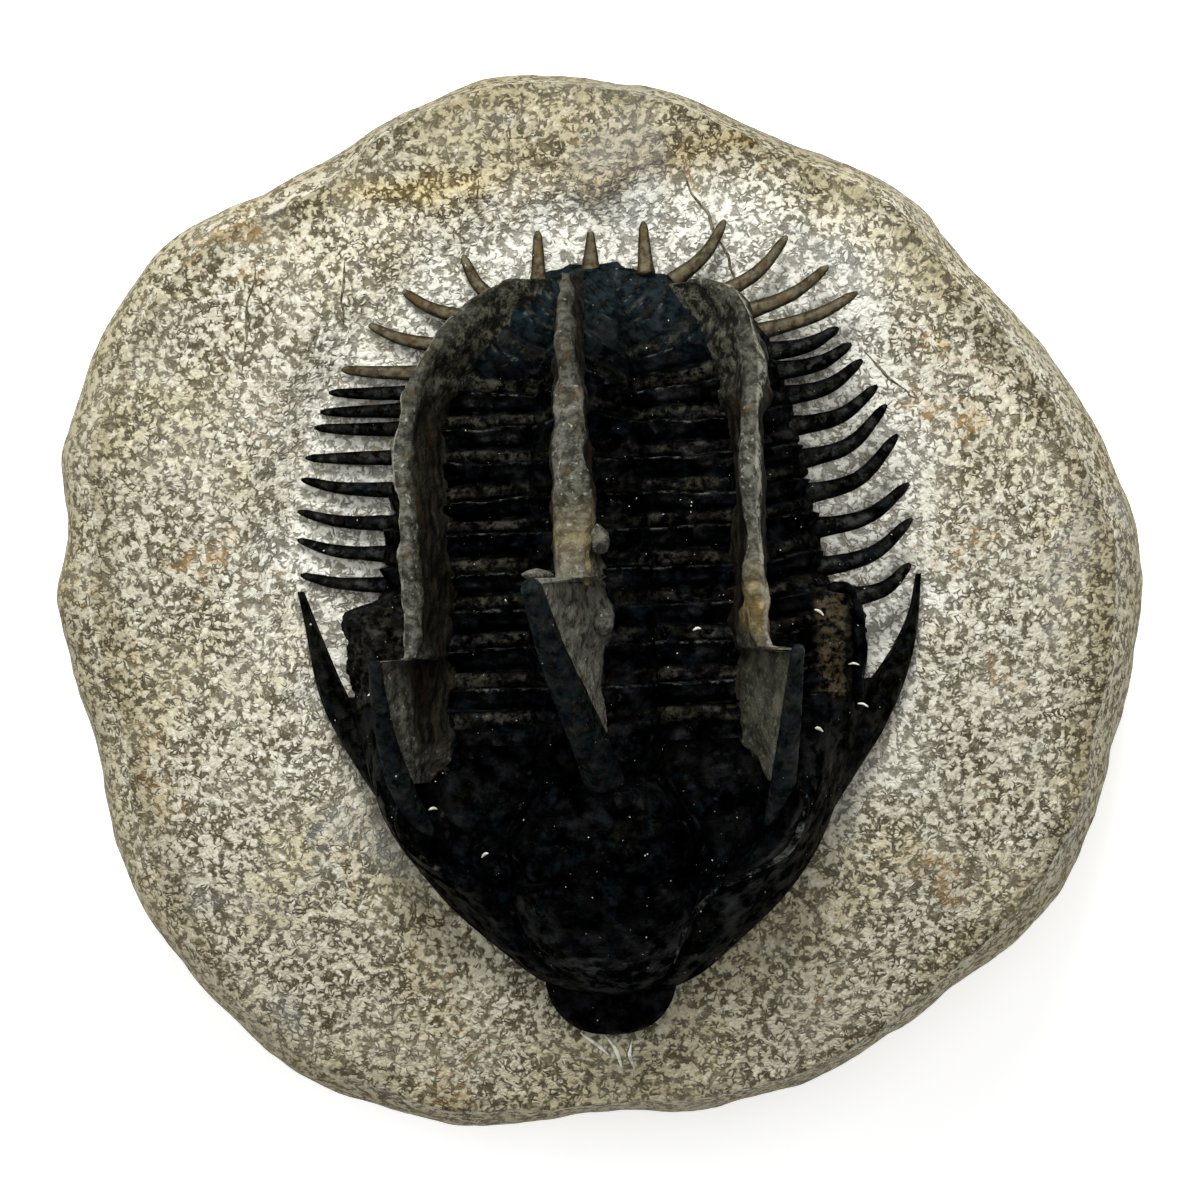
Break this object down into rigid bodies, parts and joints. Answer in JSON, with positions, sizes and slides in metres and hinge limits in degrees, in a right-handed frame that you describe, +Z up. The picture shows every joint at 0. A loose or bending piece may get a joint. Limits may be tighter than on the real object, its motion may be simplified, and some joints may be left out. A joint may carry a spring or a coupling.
{
  "type": "fossil comura trilobite",
  "caption": "Spiny trilobite fossil freed on top of a rounded limestone nodule, with thin rock walls standing between its upright spines.",
  "frame": {"origin": "middle of the overall box at the stone's flat base", "axes": "+Z up out of the stone's top face, +Y towards the fossil's tail, +X towards the right of a viewer looking down with the tail at the top"},
  "size_m": [0.083, 0.0806, 0.0463],
  "materials": {
    "limestone": "matt cream limestone with dark olive specks",
    "fossil_shell": "black calcite shell with a low sheen",
    "wall_rock": "matt grey-brown rock"
  },
  "bodies": {
    "root": {"matrix_stone": "limestone", "trilobite": "fossil_shell", "middle_rock_wall": "wall_rock", "left_rock_wall": "wall_rock", "right_rock_wall": "wall_rock"}
  },
  "joints": []
}
